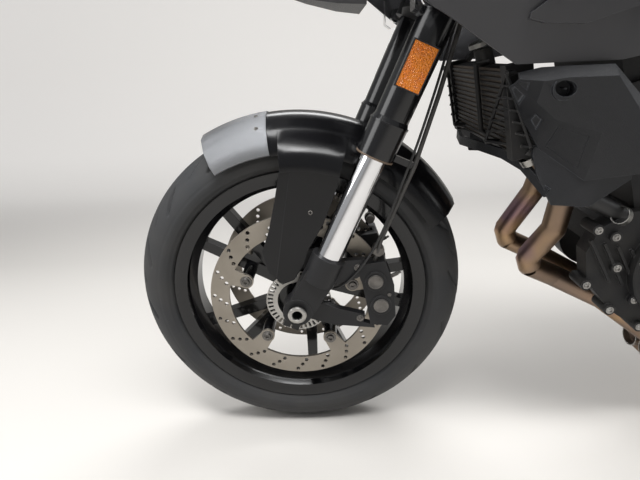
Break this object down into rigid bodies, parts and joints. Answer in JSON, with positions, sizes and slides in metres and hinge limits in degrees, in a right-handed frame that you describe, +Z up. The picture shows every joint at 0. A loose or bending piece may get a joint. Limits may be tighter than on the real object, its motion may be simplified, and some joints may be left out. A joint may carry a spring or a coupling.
{
  "type": "sport touring motorcycle",
  "caption": "Road motorcycle with half fairing, upside-down fork, radial brakes and chain drive, leaning on its side stand.",
  "frame": {"origin": "on the floor under the middle of the parked machine's bounding box", "axes": "+X forward, +Y to the rider's left, +Z up from the floor it is parked on"},
  "size_m": [2.1528, 0.9909, 1.3612],
  "materials": {
    "tyre": "matt, fine grain",
    "black_gloss_metal": "gloss powder coat",
    "black_satin_metal": "satin powder coat",
    "disc_steel": "ground and worn",
    "bright_steel": "turned",
    "chain_steel": "oiled",
    "chrome": "hard chrome",
    "header_steel": "heat tinted",
    "silencer_steel": "satin",
    "black_gloss_plastic": "high gloss",
    "black_plastic": "satin",
    "textured_plastic": "fine pebble grain",
    "grey_paint": "satin metallic",
    "silver_paint": "satin metallic",
    "engine_black": "matt cast finish",
    "radiator_black": "matt",
    "hose_rubber": "satin",
    "grip_rubber": "ribbed",
    "seat_cover": "grained vinyl",
    "amber": "prismatic",
    "red_lens": "clear red",
    "lamp_glass": "clear over reflectors",
    "screen_glass": "light smoke",
    "display_glass": "black glass",
    "mirror_glass": "silvered"
  },
  "bodies": {
    "frame": {"drive_chain": "chain_steel", "engine_covers": "engine_black", "engine_crankcase": "engine_black", "engine_cylinders": "engine_black", "exhaust_pipes": "header_steel", "foot_controls": "black_satin_metal", "footrests": "black_satin_metal", "fuel_tank": "grey_paint", "grab_rails": "black_satin_metal", "headlamps": "lamp_glass", "indicators": "amber", "instrument_display": "display_glass", "main_frame": "black_satin_metal", "nose_cowl": "grey_paint", "pillion_footrests": "black_satin_metal", "pillion_seat": "seat_cover", "plate_carrier": "black_plastic", "radiator": "radiator_black", "rear_axle_and_pivot_shaft": "bright_steel", "rear_caliper": "black_satin_metal", "rear_hugger": "black_plastic", "rear_shock": "black_satin_metal", "rear_subframe": "black_satin_metal", "rider_seat": "seat_cover", "side_deflectors": "textured_plastic", "side_fairings": "grey_paint", "side_stand_bracket": "black_satin_metal", "silencer": "silencer_steel", "swingarm": "black_satin_metal", "tail_cowl": "grey_paint", "tail_lamp": "red_lens", "windscreen": "screen_glass"},
    "steering": {"fork_lowers": "black_satin_metal", "fork_stanchions": "chrome", "fork_outer_tubes": "black_gloss_metal", "triple_clamps": "black_satin_metal", "front_axle": "bright_steel", "front_mudguard": "black_gloss_plastic", "mudguard_tip": "silver_paint", "front_calipers": "black_satin_metal", "brake_hoses": "hose_rubber", "reflectors": "amber", "handlebar": "black_satin_metal", "grips": "grip_rubber", "bar_controls": "black_plastic", "levers": "black_satin_metal", "mirrors": "black_plastic", "mirror_glasses": "mirror_glass"},
    "front_wheel": {"front_tyre": "tyre", "front_rim": "black_gloss_metal", "front_discs": "disc_steel", "wheel_sensor_ring": "bright_steel"},
    "rear_wheel": {"rear_tyre": "tyre", "rear_rim": "black_gloss_metal", "rear_disc": "disc_steel", "rear_sprocket": "chain_steel"},
    "side_stand": {"side_stand": "black_satin_metal"},
    "fuel_cap": {"fuel_cap": "black_satin_metal"}
  },
  "joints": [
    {"name": "steering", "type": "hinge", "parent": "frame", "child": "steering", "pos_m": [0.50294, -0.06693, 0.82504], "axis": [-0.4067, 0.1508, 0.901], "range_deg": [-33, 33]},
    {"name": "front_wheel_spin", "type": "hinge", "parent": "steering", "child": "front_wheel", "pos_m": [0.775, -0.15534, 0.29674], "axis": [0, 0.9863, -0.165], "continuous": true},
    {"name": "rear_wheel_spin", "type": "hinge", "parent": "frame", "child": "rear_wheel", "pos_m": [-0.745, -0.15279, 0.31202], "axis": [0, 0.9863, -0.165], "continuous": true},
    {"name": "side_stand_fold", "type": "hinge", "parent": "frame", "child": "side_stand", "pos_m": [-0.06, -0.04046, 0.20769], "axis": [0.1279, 0.8179, 0.561], "range_deg": [0, 107]},
    {"name": "fuel_cap_hinge", "type": "hinge", "parent": "frame", "child": "fuel_cap", "pos_m": [0.279, -0.03781, 0.99911], "axis": [0, 0.9863, -0.165], "range_deg": [0, 85]}
  ]
}
